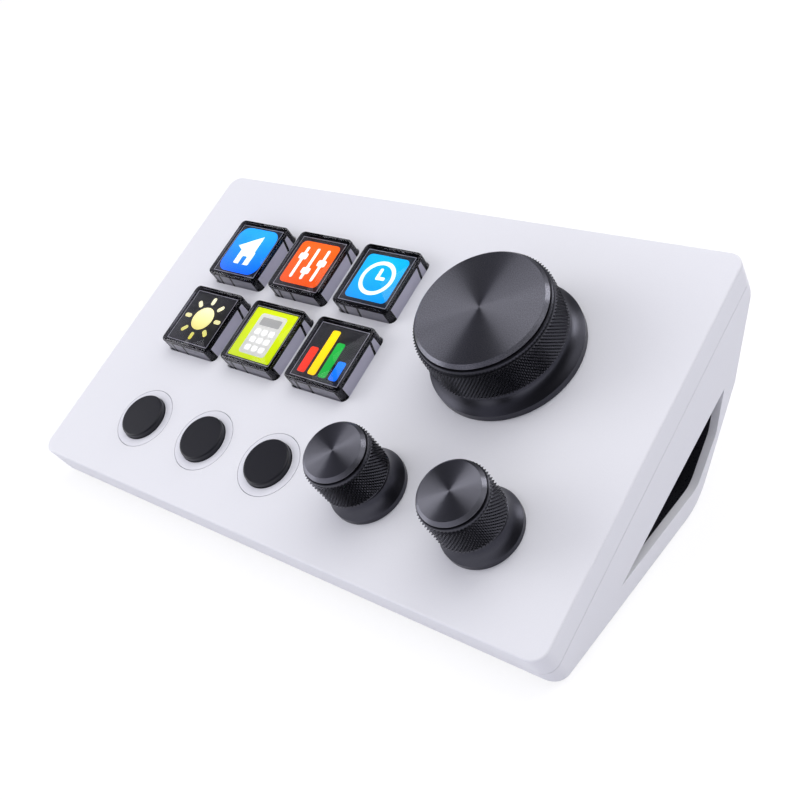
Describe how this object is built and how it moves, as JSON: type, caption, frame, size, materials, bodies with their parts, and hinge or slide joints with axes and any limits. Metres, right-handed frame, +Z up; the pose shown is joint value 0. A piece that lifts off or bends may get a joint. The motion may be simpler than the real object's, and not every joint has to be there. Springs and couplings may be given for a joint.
{
  "type": "macro keypad with knobs",
  "caption": "Tilted desktop macro keypad with clear picture keys, round push buttons, knurled push-and-turn knobs and a large dial, on a hollow wedge stand.",
  "frame": {"origin": "centre of the bounding box's base, on the table under the rubber feet", "axes": "+X to the user's right along the panel, +Y away from the user towards the raised back, +Z up"},
  "size_m": [0.131, 0.0762, 0.0458],
  "materials": {
    "white_shell": "smooth satin white moulding",
    "white_ring": "smooth satin white moulding",
    "black_gloss": "polished black",
    "black_plastic": "fine satin black",
    "button_black": "satin black",
    "clear_cap": "polished clear acrylic",
    "picture_1": "lit picture, blue",
    "picture_2": "lit picture, orange and white",
    "picture_3": "lit picture, cyan and white",
    "picture_4": "lit picture, pale yellow and white",
    "picture_5": "lit picture, lime and grey",
    "picture_6": "lit picture, red, yellow, green and blue",
    "knob_foot_black": "satin black",
    "knob_grip_black": "knurled, satin black",
    "knob_disc_black": "spun, satin black",
    "board_green": "solder mask",
    "chip_black": "moulded",
    "switch_black": "moulded",
    "steel": "plated",
    "encoder_metal": "plated die casting",
    "grey_rubber": "moulded silicone",
    "black_rubber": "matt"
  },
  "bodies": {
    "case": {"top_cover": "white_shell", "lower_shell": "white_shell", "hollow_liner": "black_gloss", "main_board": "board_green", "controller_chip": "chip_black", "usb_socket": "steel", "key_frame": "black_plastic", "dome_mat": "grey_rubber", "case_screws": "steel", "encoder_washers": "steel", "encoder_nuts": "steel", "front_foot_strip": "black_rubber", "rear_foot_strip": "black_rubber", "button_ring_1": "white_ring", "button_ring_2": "white_ring", "button_ring_3": "white_ring", "button_switch_1": "switch_black", "button_switch_2": "switch_black", "button_switch_3": "switch_black", "dial_encoder": "encoder_metal", "left_knob_encoder": "encoder_metal", "right_knob_encoder": "encoder_metal", "dial_flange": "knob_foot_black", "left_knob_flange": "knob_foot_black", "right_knob_flange": "knob_foot_black"},
    "key_1": {"key_cap_1": "clear_cap", "key_film_1": "picture_1", "key_base_1": "black_plastic"},
    "key_2": {"key_cap_2": "clear_cap", "key_film_2": "picture_2", "key_base_2": "black_plastic"},
    "key_3": {"key_cap_3": "clear_cap", "key_film_3": "picture_3", "key_base_3": "black_plastic"},
    "key_4": {"key_cap_4": "clear_cap", "key_film_4": "picture_4", "key_base_4": "black_plastic"},
    "key_5": {"key_cap_5": "clear_cap", "key_film_5": "picture_5", "key_base_5": "black_plastic"},
    "key_6": {"key_cap_6": "clear_cap", "key_film_6": "picture_6", "key_base_6": "black_plastic"},
    "button_1": {"button_cap_1": "button_black"},
    "button_2": {"button_cap_2": "button_black"},
    "button_3": {"button_cap_3": "button_black"},
    "dial_core": {"dial_rotor": "switch_black"},
    "dial": {"dial_shaft": "steel", "dial_grip": "knob_grip_black", "dial_disc": "knob_disc_black"},
    "left_knob_core": {"left_knob_rotor": "switch_black"},
    "left_knob": {"left_knob_shaft": "steel", "left_knob_grip": "knob_grip_black", "left_knob_disc": "knob_disc_black"},
    "right_knob_core": {"right_knob_rotor": "switch_black"},
    "right_knob": {"right_knob_shaft": "steel", "right_knob_grip": "knob_grip_black", "right_knob_disc": "knob_disc_black"}
  },
  "joints": [
    {"name": "key_1_press", "type": "slide", "parent": "case", "child": "key_1", "axis": [0, 0.3827, -0.9239], "range_m": [0, 0.0015], "stiffness_N_per_m": 250, "springref_m": -0.0006},
    {"name": "key_2_press", "type": "slide", "parent": "case", "child": "key_2", "axis": [0, 0.3827, -0.9239], "range_m": [0, 0.0015], "stiffness_N_per_m": 250, "springref_m": -0.0006},
    {"name": "key_3_press", "type": "slide", "parent": "case", "child": "key_3", "axis": [0, 0.3827, -0.9239], "range_m": [0, 0.0015], "stiffness_N_per_m": 250, "springref_m": -0.0006},
    {"name": "key_4_press", "type": "slide", "parent": "case", "child": "key_4", "axis": [0, 0.3827, -0.9239], "range_m": [0, 0.0015], "stiffness_N_per_m": 250, "springref_m": -0.0006},
    {"name": "key_5_press", "type": "slide", "parent": "case", "child": "key_5", "axis": [0, 0.3827, -0.9239], "range_m": [0, 0.0015], "stiffness_N_per_m": 250, "springref_m": -0.0006},
    {"name": "key_6_press", "type": "slide", "parent": "case", "child": "key_6", "axis": [0, 0.3827, -0.9239], "range_m": [0, 0.0015], "stiffness_N_per_m": 250, "springref_m": -0.0006},
    {"name": "button_1_press", "type": "slide", "parent": "case", "child": "button_1", "axis": [0, 0.3827, -0.9239], "range_m": [0, 0.0005], "stiffness_N_per_m": 1500, "springref_m": -0.0003},
    {"name": "button_2_press", "type": "slide", "parent": "case", "child": "button_2", "axis": [0, 0.3827, -0.9239], "range_m": [0, 0.0005], "stiffness_N_per_m": 1500, "springref_m": -0.0003},
    {"name": "button_3_press", "type": "slide", "parent": "case", "child": "button_3", "axis": [0, 0.3827, -0.9239], "range_m": [0, 0.0005], "stiffness_N_per_m": 1500, "springref_m": -0.0003},
    {"name": "dial_turn", "type": "hinge", "parent": "case", "child": "dial_core", "pos_m": [0.03145, 0.00846, 0.02825], "axis": [0, -0.3827, 0.9239], "continuous": true},
    {"name": "dial_push", "type": "slide", "parent": "dial_core", "child": "dial", "axis": [0, 0.3827, -0.9239], "range_m": [0, 0.0005], "stiffness_N_per_m": 5000, "springref_m": -0.0003},
    {"name": "left_knob_turn", "type": "hinge", "parent": "case", "child": "left_knob_core", "pos_m": [0.0197, -0.02253, 0.01541], "axis": [0, -0.3827, 0.9239], "continuous": true},
    {"name": "left_knob_push", "type": "slide", "parent": "left_knob_core", "child": "left_knob", "axis": [0, 0.3827, -0.9239], "range_m": [0, 0.0005], "stiffness_N_per_m": 5000, "springref_m": -0.0003},
    {"name": "right_knob_turn", "type": "hinge", "parent": "case", "child": "right_knob_core", "pos_m": [0.04489, -0.02253, 0.01541], "axis": [0, -0.3827, 0.9239], "continuous": true},
    {"name": "right_knob_push", "type": "slide", "parent": "right_knob_core", "child": "right_knob", "axis": [0, 0.3827, -0.9239], "range_m": [0, 0.0005], "stiffness_N_per_m": 5000, "springref_m": -0.0003}
  ]
}
